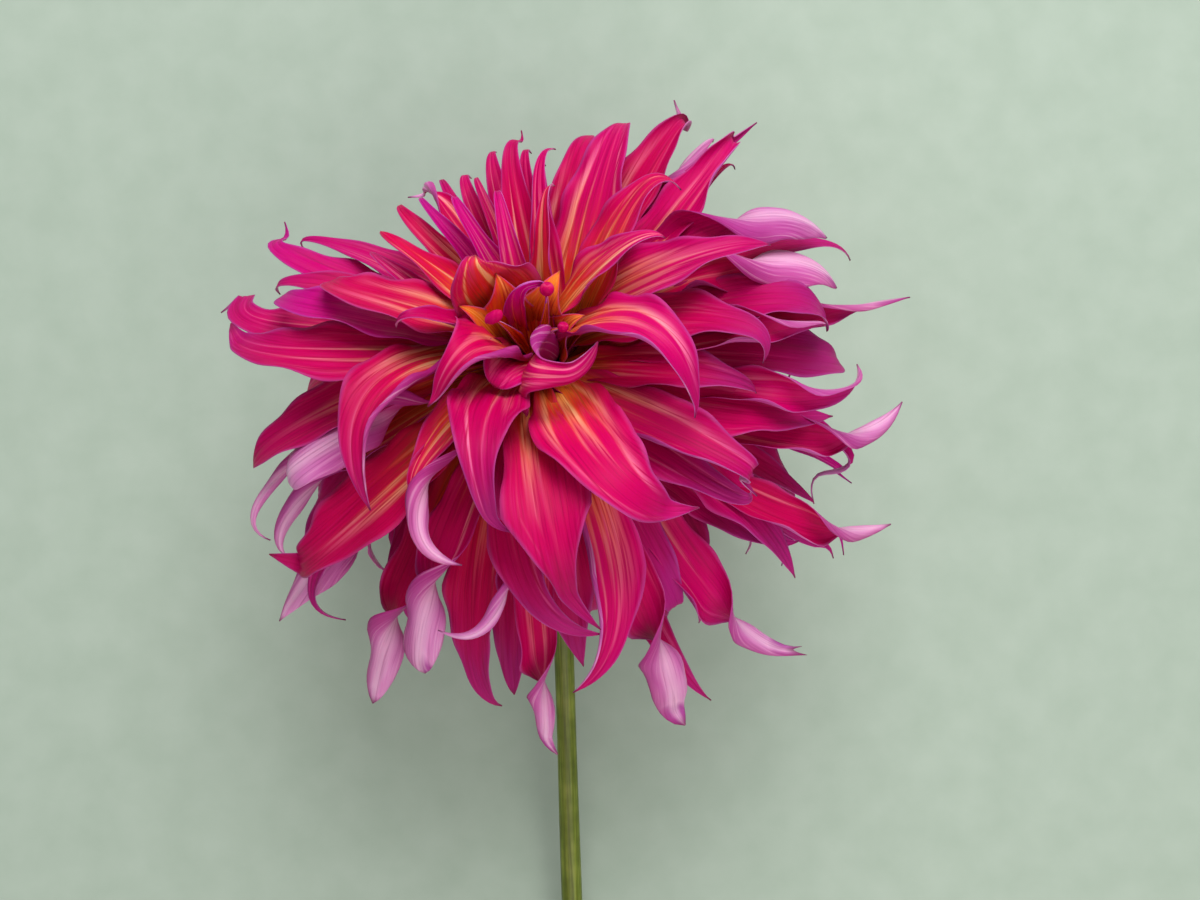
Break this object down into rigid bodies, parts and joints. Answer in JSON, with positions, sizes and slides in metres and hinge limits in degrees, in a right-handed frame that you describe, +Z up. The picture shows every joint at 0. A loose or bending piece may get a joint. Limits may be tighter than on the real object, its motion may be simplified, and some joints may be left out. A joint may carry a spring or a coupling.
{
  "type": "dahlia flower",
  "caption": "Large dahlia flower head with long twisting red-and-lilac ray florets on a cut green stem, lying on its back florets.",
  "frame": {"origin": "centre of the bounding box's foot, on the surface that the flower lies on", "axes": "+Z up from the surface, +Y from the cut end of the stem towards the top of the head, +X to the right seen from above with the head away from the viewer"},
  "size_m": [0.2327, 0.3734, 0.1808],
  "materials": {
    "ray_floret": "satin petal, orange at the claw, magenta face, lilac reverse",
    "bract_green": "matte leaf",
    "stem_green": "waxy satin stem"
  },
  "bodies": {
    "root": {"stem_and_receptacle": "stem_green", "outer_bract_1": "bract_green", "outer_bract_2": "bract_green", "outer_bract_3": "bract_green", "outer_bract_4": "bract_green", "outer_bract_5": "bract_green", "floret_heart_1": "ray_floret", "floret_heart_2": "ray_floret", "floret_heart_3": "ray_floret", "floret_heart_4": "ray_floret", "floret_front_1": "ray_floret", "floret_front_2": "ray_floret", "floret_front_3": "ray_floret", "floret_front_4": "ray_floret", "floret_front_5": "ray_floret", "floret_lower_1": "ray_floret", "floret_lower_2": "ray_floret", "floret_lower_3": "ray_floret", "floret_lower_4": "ray_floret", "floret_lower_5": "ray_floret", "floret_lower_6": "ray_floret", "floret_lower_7": "ray_floret", "floret_lower_8": "ray_floret", "floret_lower_9": "ray_floret", "floret_left_1": "ray_floret", "floret_left_2": "ray_floret", "floret_left_3": "ray_floret", "floret_left_4": "ray_floret", "floret_left_5": "ray_floret", "floret_left_6": "ray_floret", "floret_left_7": "ray_floret", "floret_left_8": "ray_floret", "floret_upper_1": "ray_floret", "floret_upper_2": "ray_floret", "floret_upper_3": "ray_floret", "floret_upper_4": "ray_floret", "floret_upper_5": "ray_floret", "floret_upper_6": "ray_floret", "floret_upper_7": "ray_floret", "floret_right_1": "ray_floret", "floret_right_2": "ray_floret", "floret_right_3": "ray_floret", "floret_right_4": "ray_floret", "floret_right_5": "ray_floret", "floret_right_6": "ray_floret", "floret_right_7": "ray_floret", "floret_right_8": "ray_floret", "floret_right_9": "ray_floret", "floret_right_10": "ray_floret", "floret_right_11": "ray_floret", "floret_back_1": "ray_floret", "floret_back_2": "ray_floret", "floret_back_3": "ray_floret", "floret_back_4": "ray_floret", "floret_back_5": "ray_floret", "floret_back_6": "ray_floret", "floret_back_7": "ray_floret", "floret_back_8": "ray_floret", "floret_back_9": "ray_floret", "floret_back_10": "ray_floret"}
  },
  "joints": []
}
